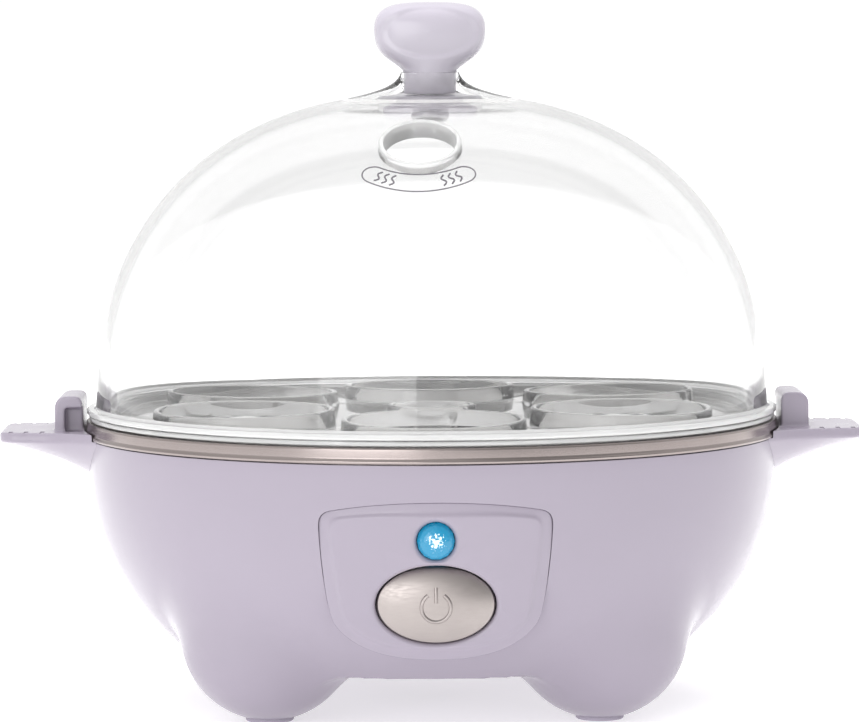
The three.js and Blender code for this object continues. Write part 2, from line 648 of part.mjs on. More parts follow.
function knob() {
  const half = KNOB.width / 2;
  const paddle = new THREE.Shape();
  paddle.moveTo(-KNOB.neck, 76.6);
  paddle.lineTo(KNOB.neck, 76.6);
  paddle.bezierCurveTo(7.4, 79.2, half, 79.4, half, 85.4);
  paddle.bezierCurveTo(half, 90.4, 6.5, KNOB.top, 0, KNOB.top);
  paddle.bezierCurveTo(-6.5, KNOB.top, -half, 90.4, -half, 85.4);
  paddle.bezierCurveTo(-half, 79.4, -7.4, 79.2, -KNOB.neck, 76.6);
  const neck = upright(KNOB.neck, 0, 0, KNOB.neckLow, 79, 20);
  const grip = upstanding(paddle, -KNOB.depth / 2, KNOB.depth / 2);
  return cut(join(neck, grip), upright(WASHER.bore, 0, 0, 60, 83));
}
piece(raisedLid, "lid_knob", knob(), "lilac");

const washer = cut(
  upright(WASHER.radius, 0, 0, WASHER.low, WASHER.high, 20),
  upright(WASHER.bore, 0, 0, 60, 75),
);
piece(raisedLid, "knob_washer", washer, "lilac");
const knobScrew = piece(raisedLid, "knob_screw", screw(2, 14, 4, 2.2), "zinc");
knobScrew.position.z = WASHER.low - GAP;

export default cooker;
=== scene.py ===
import math

import bmesh
import bpy
import numpy as np
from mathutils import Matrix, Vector


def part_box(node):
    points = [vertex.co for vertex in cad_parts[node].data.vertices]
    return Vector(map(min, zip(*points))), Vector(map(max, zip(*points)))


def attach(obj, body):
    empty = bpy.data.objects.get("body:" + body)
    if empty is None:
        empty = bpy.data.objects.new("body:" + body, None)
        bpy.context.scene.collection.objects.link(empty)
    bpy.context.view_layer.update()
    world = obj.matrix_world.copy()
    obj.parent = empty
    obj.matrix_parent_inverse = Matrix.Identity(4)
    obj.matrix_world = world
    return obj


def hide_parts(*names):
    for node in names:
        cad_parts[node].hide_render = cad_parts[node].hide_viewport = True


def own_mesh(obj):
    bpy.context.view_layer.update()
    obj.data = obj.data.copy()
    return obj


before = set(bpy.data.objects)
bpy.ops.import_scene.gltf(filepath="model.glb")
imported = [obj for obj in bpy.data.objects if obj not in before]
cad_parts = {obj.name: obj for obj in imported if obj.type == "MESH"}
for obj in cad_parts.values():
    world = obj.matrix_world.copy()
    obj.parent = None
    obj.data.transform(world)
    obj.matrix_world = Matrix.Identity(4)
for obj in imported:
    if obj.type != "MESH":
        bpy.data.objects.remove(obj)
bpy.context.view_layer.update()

# Shapes are worked out in millimetres and scaled to metres when a piece is finished.
MM = 0.001


def span(node):
    """Lowest and highest corner of a CAD node, in millimetres."""
    low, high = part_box(node)
    return np.array(low) / MM, np.array(high) / MM


# ---------------------------------------------------------------- sizes from the frame
RIM_RADIUS = span("heating_dish")[1][0]
RIM_LOW = span("dish_gasket")[0][2]
RIM_TOP = span("heating_dish")[1][2]
BOWL_RADIUS = span("base_housing")[1][0]
BOWL_TOP = span("base_housing")[1][2]
BOWL_FLOOR = span("bottom_cover")[0][2]
TRAY_RADIUS = span("egg_tray")[1][0]
TRAY_LOW = span("egg_tray")[0][2]
LID_FLANGE = span("lid_dome")[1][0]
LID_LOW = span("lid_dome")[0][2]
LID_TOP = span("lid_dome")[1][2]
KNOB_HALF = span("lid_knob")[1][0]
KNOB_DEPTH = span("lid_knob")[1][1]
KNOB_LOW = span("lid_knob")[0][2]
KNOB_TOP = span("lid_knob")[1][2]
PANEL_LOW, PANEL_HIGH = span("control_panel")
BUTTON_LOW, BUTTON_HIGH = span("power_button")
BUTTON_Z = (BUTTON_LOW[2] + BUTTON_HIGH[2]) / 2
LENS_LOW, LENS_HIGH = span("indicator_lens")
LENS_Z = (LENS_LOW[2] + LENS_HIGH[2]) / 2
WING_TIP = span("handle_right")[1][0]
POST_TOP = span("handle_right")[1][2]
LEG_X = sum(span("rubber_foot_1")[i][0] for i in (0, 1)) / 2
FOOT_RADIUS = (span("rubber_foot_1")[1][0] - span("rubber_foot_1")[0][0]) / 2

GAP = 0.3
LENS_RADIUS = 3.75
LEG_RADIUS = 18.3
LEG_CENTRE = LEG_RADIUS + 0.1
LEG_SOLE = 0.9
LEGS = [(sx * LEG_X, sy * LEG_X) for sx in (1, -1) for sy in (1, -1)]
DOME_BASE = RIM_LOW + 5.4
DOME_RADIUS, DOME_RISE, DOME_POWER, DOME_WALL = 71.0, 66.6, 2.27, 2.0


# ---------------------------------------------------------------- camera
def make_camera():
    """Looks at the rim's front from a little above, as far off as a long lens needs."""
    distance = 1.0
    turn, elevation, tilt, roll = (math.radians(a) for a in (0.57, 5.15, 4.294, 0.3))
    data = bpy.data.cameras.new("camera")
    data.sensor_width = 36
    data.lens = 197.2
    data.clip_start, data.clip_end = 0.05, 60
    camera = bpy.data.objects.new("camera", data)
    bpy.context.scene.collection.objects.link(camera)
    camera.location = (
        -distance * math.cos(elevation) * math.sin(turn),
        -distance * math.cos(elevation) * math.cos(turn),
        RIM_LOW * MM + distance * math.sin(elevation),
    )
    camera.rotation_euler = (math.pi / 2 - tilt, roll, -turn)
    bpy.context.scene.camera = camera


# ---------------------------------------------------------------- outlines
def bezier(points, steps):
    """Points along a cubic curve through its first and last point."""
    p = np.array(points, float)
    t = np.linspace(0, 1, steps + 1)[:, None]
    return ((1 - t) ** 3 * p[0] + 3 * (1 - t) ** 2 * t * p[1]
            + 3 * (1 - t) * t * t * p[2] + t ** 3 * p[3])


def rounded(corners, steps=4):
    """An outline whose corners [a, b, radius] are turned into small curves. Ends stay."""
    made = []
    last = len(corners) - 1
    for i, corner in enumerate(corners):
        here = np.array(corner[:2], float)
        radius = corner[2] if len(corner) > 2 else 0
        if radius == 0 or i in (0, last):
            made.append(here)
            continue
        before = np.array(corners[i - 1][:2], float) - here
        after = np.array(corners[i + 1][:2], float) - here
        reach = min(radius, 0.45 * np.linalg.norm(before), 0.45 * np.linalg.norm(after))
        start = here + before / np.linalg.norm(before) * reach
        end = here + after / np.linalg.norm(after) * reach
        for t in np.linspace(0, 1, steps + 1):
            made.append((1 - t) ** 2 * start + 2 * t * (1 - t) * here + t * t * end)
    return made


def bowl_side(inset, top, steps=40):
    """The bowl's side from the floor's edge up to the top, set in by inset."""
    side = BOWL_RADIUS - inset
    return bezier([
        (52.3 - 0.25 * inset, BOWL_FLOOR + inset),
        (61 - 0.75 * inset, 18.8 + 0.75 * inset),
        (side, 28.6),
        (side, top),
    ], steps)


def dome_side(inset, lowest, highest, steps):
    """The dome's side as radius and height, from angle lowest to highest in degrees."""
    angles = np.radians(np.linspace(lowest, highest, steps + 1))
    flat = 2 / DOME_POWER
    radius = (DOME_RADIUS - inset) * np.cos(angles) ** flat
    height = DOME_BASE + (DOME_RISE - inset) * np.sin(angles) ** flat
    return np.column_stack([radius, height])


def panel_face(inset=0.0, steps=60):
    """The control panel's face as radius and height."""
    face = bezier([(64.6, 13), (68, 22), (71.6, 34), (73.2, 52)], steps)
    return face - np.array([inset, 0])


def shield(grow, steps=14):
    """The control panel's outline in x and z: arched top, blunt shoulders, bowed foot."""
    half = PANEL_HIGH[0] + grow
    top, bottom = PANEL_HIGH[2] + grow, PANEL_LOW[2] - grow
    right = [
        [(0, bottom), (half * 0.42, bottom), (half * 0.7, bottom + 2), (half * 0.86, bottom + 6.8)],
        [(half * 0.86, bottom + 6.8), (half * 0.95, bottom + 9), (half, top - 7), (half, top - 5)],
        [(half, top - 5), (half, top - 2.5), (half * 0.95, top - 2), (half * 0.88, top - 1.7)],
        [(half * 0.88, top - 1.7), (half * 0.6, top - 0.5), (half * 0.3, top), (0, top)],
    ]
    side = np.vstack([bezier(curve, steps)[:-1] for curve in right])
    mirrored = [(-x, z) for x, z in side[::-1]]
    return np.vstack([side, [(0, top)], mirrored[:-1]])


def oval(grow, steps=72):
    half_x = BUTTON_HIGH[0] + grow
    half_z = (BUTTON_HIGH[2] - BUTTON_LOW[2]) / 2 + grow
    angles = np.linspace(0, 2 * math.pi, steps, endpoint=False)
    return np.column_stack([half_x * np.cos(angles), BUTTON_Z + half_z * np.sin(angles)])


# ---------------------------------------------------------------- mesh tools
def new_object(name, vertices, faces):
    mesh = bpy.data.meshes.new(name)
    mesh.from_pydata([tuple(map(float, p)) for p in vertices], [], faces)
    made = bpy.data.objects.new(name, mesh)
    bpy.context.scene.collection.objects.link(made)
    weld(made)
    return made


def weld(piece, distance=1e-3):
    """Merges doubled points and turns all faces outward."""
    bm = bmesh.new()
    bm.from_mesh(piece.data)
    bmesh.ops.remove_doubles(bm, verts=bm.verts, dist=distance)
    bmesh.ops.dissolve_degenerate(bm, edges=bm.edges, dist=distance)
    bmesh.ops.recalc_face_normals(bm, faces=bm.faces)
    if bm.calc_volume(signed=True) < 0:
        bmesh.ops.reverse_faces(bm, faces=bm.faces)
    bm.to_mesh(piece.data)
    bm.free()


def revolve(name, outline, steps=128, axis="z", at=(0, 0, 0)):
    """Turns an outline of radius and height about an axis through a point."""
    outline = [np.array(p[:2], float) for p in outline]
    if outline[0][0] > 1e-6:
        outline.append(outline[0])
    angles = np.linspace(0, 2 * math.pi, steps, endpoint=False)
    turn = np.column_stack([np.cos(angles), np.sin(angles)])
    points = []
    for radius, height in outline:
        ring = np.column_stack([turn * radius, np.full(steps, height)])
        if axis == "y":
            ring = ring[:, [0, 2, 1]]
        points.append(ring + np.array(at))
    faces = ring_faces(len(outline), steps)
    return new_object(name, np.vstack(points), faces)


def ring_faces(rows, count):
    faces = []
    for row in range(rows - 1):
        for i in range(count):
            a, b = row * count + i, row * count + (i + 1) % count
            faces.append((a, b, b + count, a + count))
    return faces


def lofted(name, rows):
    """Joins closed rows of points, with a flat face over each end."""
    count = len(rows[0])
    faces = ring_faces(len(rows), count)
    faces.append(tuple(range(count - 1, -1, -1)))
    last = (len(rows) - 1) * count
    faces.append(tuple(range(last, last + count)))
    return new_object(name, np.vstack(rows), faces)


def prism(name, outline, near, far):
    """An outline in x and z that runs from y = near to y = far."""
    rows = [np.column_stack([outline[:, 0], np.full(len(outline), y), outline[:, 1]])
            for y in (near, far)]
    return lofted(name, rows)


def block(name, low, high):
    outline = np.array([(low[0], low[2]), (high[0], low[2]), (high[0], high[2]), (low[0], high[2])])
    return prism(name, outline, low[1], high[1])


def sweep(name, points, radius, sides=10, closed=False):
    """A round bar along a list of points."""
    path = np.array(points, float)
    count = len(path)
    if closed:
        ahead = np.roll(path, -1, 0) - np.roll(path, 1, 0)
    else:
        ahead = np.gradient(path, axis=0)
    ahead /= np.linalg.norm(ahead, axis=1)[:, None]
    guide = np.array([0.0, 0.0, 1.0]) if abs(ahead[0][2]) < 0.9 else np.array([0.0, 1.0, 0.0])
    rows = []
    radii = np.broadcast_to(radius, count)
    for here, way, thick in zip(path, ahead, radii):
        side = guide - way * guide.dot(way)
        side /= np.linalg.norm(side)
        guide = side
        other = np.cross(way, side)
        angles = np.linspace(0, 2 * math.pi, sides, endpoint=False)
        rows.append(here + thick * (np.outer(np.cos(angles), side) + np.outer(np.sin(angles), other)))
    if not closed:
        return lofted(name, rows)
    faces = ring_faces(count + 1, sides)
    return new_object(name, np.vstack(rows + [rows[0]]), faces)


def modified(piece, kind, **settings):
    """Adds one modifier and applies it."""
    modifier = piece.modifiers.new(kind.lower(), kind)
    for key, value in settings.items():
        setattr(modifier, key, value)
    graph = bpy.context.evaluated_depsgraph_get()
    made = bpy.data.meshes.new_from_object(piece.evaluated_get(graph))
    old = piece.data
    piece.modifiers.clear()
    piece.data = made
    bpy.data.meshes.remove(old)
    return piece


def combined(piece, operation, *tools):
    for tool in tools:
        modified(piece, "BOOLEAN", operation=operation, object=tool, solver="EXACT")
        bpy.data.objects.remove(tool)
    return piece


def cut(piece, *tools):
    return combined(piece, "DIFFERENCE", *tools)


def joined(piece, *tools):
    return combined(piece, "UNION", *tools)


def softened(piece, voxel, rounds):
    """Rebuilds a piece as an even mesh and rounds off its edges."""
    modified(piece, "REMESH", mode="VOXEL", voxel_size=voxel, use_smooth_shade=True)
    return modified(piece, "SMOOTH", iterations=rounds, factor=0.5)


def shade(piece, angle=32):
    """Smooth shading with a crease wherever faces meet at more than angle degrees."""
    bm = bmesh.new()
    bm.from_mesh(piece.data)
    limit = math.radians(angle)
    for face in bm.faces:
        face.smooth = angle > 0
    for edge in bm.edges:
        edge.smooth = len(edge.link_faces) == 2 and edge.calc_face_angle(0) < limit
    bm.to_mesh(piece.data)
    bm.free()


def finished(piece, material, body, nodes=(), angle=32):
    """Scales a piece to metres, gives it its material and hangs it on its body."""
    coordinates = np.empty(len(piece.data.vertices) * 3)
    piece.data.vertices.foreach_get("co", coordinates)
    piece.data.vertices.foreach_set("co", coordinates * MM)
    piece.data.update()
    if angle is not None:
        shade(piece, angle)
    piece.data.materials.clear()
    piece.data.materials.append(material)
    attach(piece, body)
    if nodes:
        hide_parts(*nodes)
    return piece


# ---------------------------------------------------------------- materials
def material(name, colour, roughness, **settings):
    """A material with a Principled shader, whose other settings are given by name."""
    made = bpy.data.materials.new(name)
    made.use_nodes = True
    shader = made.node_tree.nodes["Principled BSDF"]
    shader.inputs["Base Color"].default_value = (*colour, 1)
    shader.inputs["Roughness"].default_value = roughness
    for key, value in settings.items():
        shader.inputs[key.replace("_", " ")].default_value = value
    return made


def node(made, kind, **inputs):
    """Adds a shader node and sets its inputs by name."""
    added = made.node_tree.nodes.new(kind)
    for key, value in inputs.items():
        added.inputs[key.replace("_", " ")].default_value = value
    return added


def link(made, source, target):
    made.node_tree.links.new(source, target)


def object_noise(made, scale, detail=3.0, stretch=(1, 1, 1)):
    """Noise over the piece, scale in features per metre, stretched along its axes."""
    place = node(made, "ShaderNodeTexCoord")
    mapping = node(made, "ShaderNodeMapping", Scale=stretch)
    noise = node(made, "ShaderNodeTexNoise", Scale=scale, Detail=detail)
    link(made, place.outputs["Object"], mapping.inputs["Vector"])
    link(made, mapping.outputs["Vector"], noise.inputs["Vector"])
    return noise.outputs["Fac"]


def ranged(made, value, low, high, source=(0.3, 0.7)):
    """Maps a noise value onto low to high."""
    spread = node(made, "ShaderNodeMapRange")
    link(made, value, spread.inputs["Value"])
    for name, number in zip(("From Min", "From Max", "To Min", "To Max"), (*source, low, high)):
        spread.inputs[name].default_value = number
    return spread.outputs["Result"]


def varied_colour(made, value, first, second):
    """A colour that runs from the first to the second as a value goes from 0 to 1."""
    mix = node(made, "ShaderNodeMix")
    mix.data_type = "RGBA"
    for socket in mix.inputs:
        if socket.type == "RGBA":
            socket.default_value = (*(first if socket.name == "A" else second), 1)
    link(made, value, mix.inputs["Factor"])
    return [out for out in mix.outputs if out.type == "RGBA"][0]


def bumped(made, height, strength, distance):
    bump = node(made, "ShaderNodeBump", Strength=strength, Distance=distance)
    link(made, height, bump.inputs["Height"])
    link(made, bump.outputs["Normal"], shader_of(made).inputs["Normal"])


def shader_of(made):
    return made.node_tree.nodes["Principled BSDF"]


def moulded(name, colour, roughness=0.22, spread=0.02, bump=0.00002, **settings):
    """Moulded plastic: faint cloudy colour, uneven gloss and the finest surface grain."""
    made = material(name, colour, roughness, **settings)
    shader = shader_of(made)
    cloud = object_noise(made, 35)
    darker = [c * (1 - spread) for c in colour]
    lighter = [min(1, c * (1 + spread)) for c in colour]
    link(made, varied_colour(made, ranged(made, cloud, 0, 1), darker, lighter),
         shader.inputs["Base Color"])
    gloss = object_noise(made, 160, 4)
    link(made, ranged(made, gloss, roughness * 0.85, roughness * 1.2), shader.inputs["Roughness"])
    bumped(made, object_noise(made, 2200, 2), 0.25, bump)
    return made


def brushed(name, colour, roughness, stretch, scale=900.0, depth=0.00003, anisotropy=0.5):
    """Metal with fine lines drawn along the axis whose stretch is smallest."""
    made = material(name, colour, roughness, Metallic=1.0, Anisotropic=anisotropy)
    shader = shader_of(made)
    lines = object_noise(made, scale, 4, stretch)
    tone = object_noise(made, 60, 3)
    link(made, varied_colour(made, ranged(made, tone, 0, 1), [c * 0.93 for c in colour],
                             [min(1, c * 1.05) for c in colour]), shader.inputs["Base Color"])
    link(made, ranged(made, lines, roughness * 0.8, roughness * 1.3), shader.inputs["Roughness"])
    bumped(made, lines, 0.3, depth)
    return made


def clear_plastic(name, clearness, ior, density):
    """Clear moulded plastic, a little uneven and a little milky."""
    made = material(name, (0.985, 0.985, 0.985), 0.02, IOR=ior, Transmission_Weight=clearness)
    gloss = object_noise(made, 60, 3)
    link(made, ranged(made, gloss, 0.01, 0.035), shader_of(made).inputs["Roughness"])
    absorb = node(made, "ShaderNodeVolumeAbsorption", Color=(0.5, 0.49, 0.485, 1), Density=density)
    link(made, absorb.outputs["Volume"], made.node_tree.nodes["Material Output"].inputs["Volume"])
    return made


LILAC = (0.345, 0.309, 0.372)
# The knob and its washer are the body's lilac plastic, painted lighter: painted light that makes up for the
# shade on the knob's neck inside the clear flare.
KNOB_LILAC_PAINTED_LIGHTER = (0.520, 0.487, 0.556)
lilac = moulded("lilac_plastic", LILAC, 0.215, 0.012, 0.000002, Coat_Weight=0.1, Coat_Roughness=0.08,
                Specular_IOR_Level=0.38)
# The knob's material takes the painted-lighter lilac above (painted light), with a stronger coat.
knob_lilac_painted_light = moulded("knob_plastic_painted_light", KNOB_LILAC_PAINTED_LIGHTER, 0.215, 0.012, 0.000002, Coat_Weight=0.2, Coat_Roughness=0.08)
clear = clear_plastic("clear_plastic", 0.97, 1.42, 10.0)
tray_clear = clear_plastic("tray_plastic", 0.97, 1.35, 3.0)
hazy = clear_plastic("clear_edge", 0.52, 1.32, 3.0)
thin = clear_plastic("clear_thin", 0.96, 1.07, 1.0)
steel = brushed("rim_steel", (0.34, 0.295, 0.285), 0.2, (1, 1, 30), 700, 0.00001)
spun = brushed("spun_steel", (0.90, 0.89, 0.88), 0.38, (1, 1, 1), 300, 0.000002)
satin = brushed("satin_silver", (0.39, 0.352, 0.34), 0.36, (1, 12, 12), 300, 0.000001, 0.2)
zinc = brushed("zinc_steel", (0.58, 0.58, 0.58), 0.35, (1, 1, 1), 800)
rubber = moulded("foot_rubber", (0.42, 0.38, 0.46), 0.7, 0.05, 0.00008)
silicone = moulded("silicone", (0.80, 0.78, 0.76), 0.55, 0.03, 0.00005)
black = moulded("black_plastic", (0.02, 0.02, 0.022), 0.45, 0.1, 0.00005)
laminate = moulded("circuit_board", (0.03, 0.14, 0.06), 0.4, 0.15, 0.00004)
ceramic = moulded("ceramic", (0.78, 0.74, 0.64), 0.55, 0.04, 0.00006)
grey_ink = moulded("grey_print", (0.16, 0.15, 0.17), 0.5, 0.05, 0.00001)


def lit_lens():
    """Blue clear plastic with the lamp's glow at its middle."""
    made = material("blue_lens", (0.03, 0.42, 0.66), 0.08, Coat_Weight=0.5)
    shader = shader_of(made)
    place = node(made, "ShaderNodeTexCoord")
    away = node(made, "ShaderNodeVectorMath")
    away.operation = "DISTANCE"
    link(made, place.outputs["Object"], away.inputs[0])
    away.inputs[1].default_value = (0, LENS_LOW[1] * MM, LENS_Z * MM)
    sparkle = object_noise(made, 2300, 2)
    wobble = ranged(made, sparkle, -0.0013, 0.0013)
    reach = node(made, "ShaderNodeMath")
    reach.operation = "ADD"
    link(made, away.outputs["Value"], reach.inputs[0])
    link(made, wobble, reach.inputs[1])
    glow = ranged(made, reach.outputs["Value"], 1, 0, (0.0003, 0.0012))
    colour = varied_colour(made, glow, (0.004, 0.19, 0.34), (0.75, 0.95, 1.0))
    link(made, colour, shader.inputs["Base Color"])
    link(made, colour, shader.inputs["Emission Color"])
    shader.inputs["Emission Strength"].default_value = 0.45
    bumped(made, sparkle, 0.5, 0.0002)
    return made


# ---------------------------------------------------------------- base housing
BLEND = 5.0


def distance_to_line(points, line):
    """Distance in a plane from each point to the nearest stretch of a line."""
    best = np.full(len(points), np.inf)
    for a, b in zip(line[:-1], line[1:]):
        along = b - a
        t = np.clip(((points - a) @ along) / (along @ along), 0, 1)
        best = np.minimum(best, np.linalg.norm(points - a - t[:, None] * along, axis=1))
    return best


def body_distance(points):
    """How far each point is outside the bowl and its legs, which flow into each other."""
    radius = np.hypot(points[:, 0], points[:, 1])
    height = points[:, 2]
    side = bowl_side(0, BOWL_TOP, 36)
    line = np.vstack([[(0, BOWL_FLOOR)], side, [(BOWL_RADIUS, BOWL_TOP + 40)]])
    flat = np.column_stack([radius, height])
    away = distance_to_line(flat, line)
    wall = np.interp(height, line[1:, 1], line[1:, 0])
    inside = (height > BOWL_FLOOR) & (radius < wall)
    field = np.where(inside, -away, away)
    for x, y in LEGS:
        lifted = np.clip(height, LEG_CENTRE, 42)
        leg = np.sqrt((points[:, 0] - x) ** 2 + (points[:, 1] - y) ** 2 + (height - lifted) ** 2)
        leg -= LEG_RADIUS
        near = np.maximum(BLEND - np.abs(field - leg), 0) / BLEND
        field = np.minimum(field, leg) - near ** 2 * BLEND / 4
    return field


def body_slope(points, step=0.02):
    """Outward direction of the body's skin at each point."""
    slope = np.empty_like(points)
    for i in range(3):
        shift = np.zeros(3)
        shift[i] = step
        slope[:, i] = (body_distance(points + shift) - body_distance(points - shift)) / (2 * step)
    return slope


def body_blank():
    """An even mesh of the bowl and legs, drawn onto their common smooth skin."""
    outline = [(0, BOWL_FLOOR), *bowl_side(0, BOWL_TOP, 24), (BOWL_RADIUS, BOWL_TOP + 6), (0, BOWL_TOP + 6)]
    blank = revolve("base_housing_shell", outline, 96)
    for x, y in LEGS:
        angles = np.radians(np.linspace(-90, 0, 10))
        ball = [(LEG_RADIUS * math.cos(a), LEG_CENTRE + LEG_RADIUS * math.sin(a)) for a in angles]
        ball[0] = (0, ball[0][1])
        joined(blank, revolve("leg", ball + [(LEG_RADIUS, 34), (0, 34)], 32, at=(x, y, 0)))
    modified(blank, "REMESH", mode="VOXEL", voxel_size=1.15)
    points = np.array([v.co for v in blank.data.vertices], float)
    moving = points[:, 2] < BOWL_TOP + 4
    for _ in range(10):
        here = points[moving]
        slope = body_slope(here)
        steep = np.maximum((slope ** 2).sum(1), 0.05)
        points[moving] = here - slope * (body_distance(here) / steep)[:, None]
    blank.data.vertices.foreach_set("co", points.ravel())
    blank.data.update()
    return blank


def seat_cutter():
    """The shallow seat behind the control panel."""
    cutter = prism("seat", shield(0.06), -85, -45)
    core = [(0, BOWL_FLOOR - 2), *bowl_side(1.3, 60, 30), (0, 60)]
    return cut(cutter, revolve("core", core, 96))


def make_housing():
    housing = body_blank()
    high = block("lid", (-90, -90, BOWL_TOP), (90, 90, BOWL_TOP + 30))
    inner = [(0, BOWL_FLOOR + 2.5), *bowl_side(2.5, BOWL_TOP + 1, 24), (0, BOWL_TOP + 1)]
    soles = [revolve("sole", [(0, -2), (40, -2), (40, LEG_SOLE), (0, LEG_SOLE)], 4)]
    cut(housing, high, revolve("inner", inner, 96), *soles, seat_cutter())
    cut(housing, prism("well", oval(2.3), -85, -50))
    cut(housing, revolve("lens_hole", [(0, -85), (3.8, -85), (3.8, -60), (0, -60)], 32, "y", (0, 0, LENS_Z)))
    cover = span("bottom_cover")[1][0] + GAP
    cut(housing, revolve("rebate", [(0, 0), (cover, 0), (cover, 12.9), (0, 12.9)], 96))
    cut(housing, revolve("opening", [(0, 0), (21, 0), (21, 20), (0, 20)], 96))
    for i in (1, 2, 3):
        low, high = span(f"dish_screw_{i}")
        x, y = (low[0] + high[0]) / 2, (low[1] + high[1]) / 2
        cut(housing, revolve("bore", [(0, 0), (4, 0), (4, 14.2), (0, 14.2)], 32, at=(x, y, 0)))
    for x, y in LEGS:
        reach = FOOT_RADIUS + GAP
        cut(housing, revolve("seat", [(0, 0), (reach, 0), (reach, 3.1), (0, 3.1)], 48, at=(x, y, 0)))
    gland_z = span("cord_gland")[0][2] + 8.6
    cut(housing, revolve("gland", [(0, 50), (6.3, 50), (6.3, 80), (0, 80)], 40, "y", (0, 0, gland_z)))
    finished(housing, lilac, "base", ["base_housing"])
    smooth_skin(housing)


def smooth_skin(housing):
    """Gives the moulded skin the exact directions of the surface that it was drawn onto."""
    mesh = housing.data
    points = np.array([v.co for v in mesh.vertices], float) / MM
    slope = body_slope(points)
    slope /= np.maximum(np.linalg.norm(slope, axis=1), 1e-9)[:, None]
    on_skin = np.abs(body_distance(points)) < 0.05
    normals = np.zeros((len(mesh.loops), 3))
    for face in mesh.polygons:
        facing = np.array(face.normal)
        for loop in face.loop_indices:
            vertex = mesh.loops[loop].vertex_index
            if on_skin[vertex] and slope[vertex] @ facing > 0.75:
                normals[loop] = slope[vertex]
    mesh.normals_split_custom_set([tuple(n) for n in normals])


def make_feet():
    for i in range(4):
        low, high = span(f"rubber_foot_{i + 1}")
        x, y = (low[0] + high[0]) / 2, (low[1] + high[1]) / 2
        outline = rounded([(0, 0), (FOOT_RADIUS, 0, 0.6), (FOOT_RADIUS, high[2], 0.3), (0, high[2])])
        foot = revolve(f"soft_foot_{i + 1}", outline, 48, at=(x, y, 0))
        finished(foot, rubber, "base", [f"rubber_foot_{i + 1}"])


# ---------------------------------------------------------------- handles
def wing_row(x):
    """The wing's section: flat on top, hung to a keel underneath, narrowing to the tip."""
    inward = (WING_TIP - x) / (WING_TIP - 68)
    keel = -1.5 - 0.26 * (WING_TIP - x) - 3.6 * inward ** 3
    corner = min(max((x - WING_TIP + 4) / 4, 0), 1)
    half = 13 + 10 * inward ** 3 - 4 * (1 - math.sqrt(1 - corner ** 2))
    near_tip = max(x - WING_TIP + 0.8, 0) / 0.8
    top = 1.3 - 0.35 * near_tip
    edge = -0.6
    keel += 0.3 * near_tip - 0.25
    across = np.linspace(-1, 1, 25)
    under = [(x, a * half, keel + (edge - keel) * a * a) for a in across]
    over = [(x, a * (half - 0.4), top) for a in np.linspace(1, -1, 13)]
    return np.array(under + over) + np.array([0, 0, RIM_LOW])


def make_handle(name, turn):
    """A finger wing with a rest post, pocketed on one flank, that the rim sits against."""
    places = np.concatenate([np.linspace(68, WING_TIP - 3, 14), np.linspace(WING_TIP - 2.6, WING_TIP, 7)])
    handle = lofted(f"{name}_grip", [wing_row(x) for x in places])
    inner, outer, top = RIM_RADIUS + 0.12, 79.4, POST_TOP
    post = np.array(rounded([
        (inner, RIM_LOW - 1), (outer, RIM_LOW - 1), (outer, top, 2.6), (inner, top, 1.6),
        (inner, RIM_LOW - 1),
    ], 6)[:-1])
    joined(handle, prism("post", post, -9, 9))
    cut(handle, block("pocket", (70, 6, RIM_LOW + 1), (77.3, 10, RIM_LOW + 6.2)))
    softened(handle, 0.34, 2)
    for x in (81.9, 85.3, 88.5):
        for low, high in ((-20, -9.5), (9.5, 20)):
            cut(handle, block("notch", (x - 0.45, low, RIM_LOW + 1.12), (x + 0.45, high, RIM_LOW + 3)))
    reach, floor = RIM_RADIUS + 0.12, RIM_LOW - 0.08
    cut(handle, revolve("rim_room", [(0, floor), (reach, floor), (reach, 90), (0, 90)], 160))
    room = [(0, 5), *bowl_side(-0.04, RIM_LOW, 24), (0, RIM_LOW)]
    cut(handle, revolve("bowl_room", room, 160))
    if turn:
        points = np.array([v.co for v in handle.data.vertices]) * np.array([-1, -1, 1])
        handle.data.vertices.foreach_set("co", points.ravel())
    finished(handle, lilac, "base", [name], angle=60)


# ---------------------------------------------------------------- heating dish
def make_dish():
    low = RIM_LOW - 8
    wall, outside = 68.8, 69.8
    sweep_out = bezier([(50, low), (62, low), (outside, low + 1.5), (outside, RIM_LOW)], 16)
    sweep_in = bezier([(wall, RIM_LOW), (wall, low + 2.2), (62, low + 1), (50, low + 1)], 16)
    inside = RIM_RADIUS - 1
    rim = rounded([
        (outside, RIM_LOW), (outside, RIM_TOP - 1, 0.3), (inside - 0.3, RIM_TOP - 1, 0.4),
        (inside - 0.3, RIM_LOW + 0.9, 0.3), (inside, RIM_LOW, 0.2), (RIM_RADIUS - 0.1, RIM_LOW, 0.2),
        (RIM_RADIUS, RIM_LOW + 0.5, 0.2), (RIM_RADIUS - 0.35, RIM_LOW + 0.95, 0.3),
        (RIM_RADIUS - 0.35, RIM_TOP, 0.5), (wall, RIM_TOP, 1.0), (wall, RIM_LOW),
    ], 6)
    outline = [(0, low), *sweep_out, *rim[1:-1], *sweep_in, (0, low + 1)]
    dish = revolve("dish_pan", outline, 160)
    finished(dish, steel, "base", ["heating_dish"])
    dish.data.materials.append(spun)
    for face in dish.data.polygons:
        x, y, z = face.center / MM
        if math.hypot(x, y) < wall + 0.2:
            face.material_index = 1


def make_gasket():
    low, high = span("dish_gasket")
    outline = rounded([(71, low[2]), (high[0], low[2], 0.4), (high[0], high[2], 0.4),
                       (70.1, high[2], 0.4), (70.1, low[2], 0.4), (71, low[2])])
    finished(revolve("gasket_ring", outline[:-1], 128), silicone, "base", ["dish_gasket"])


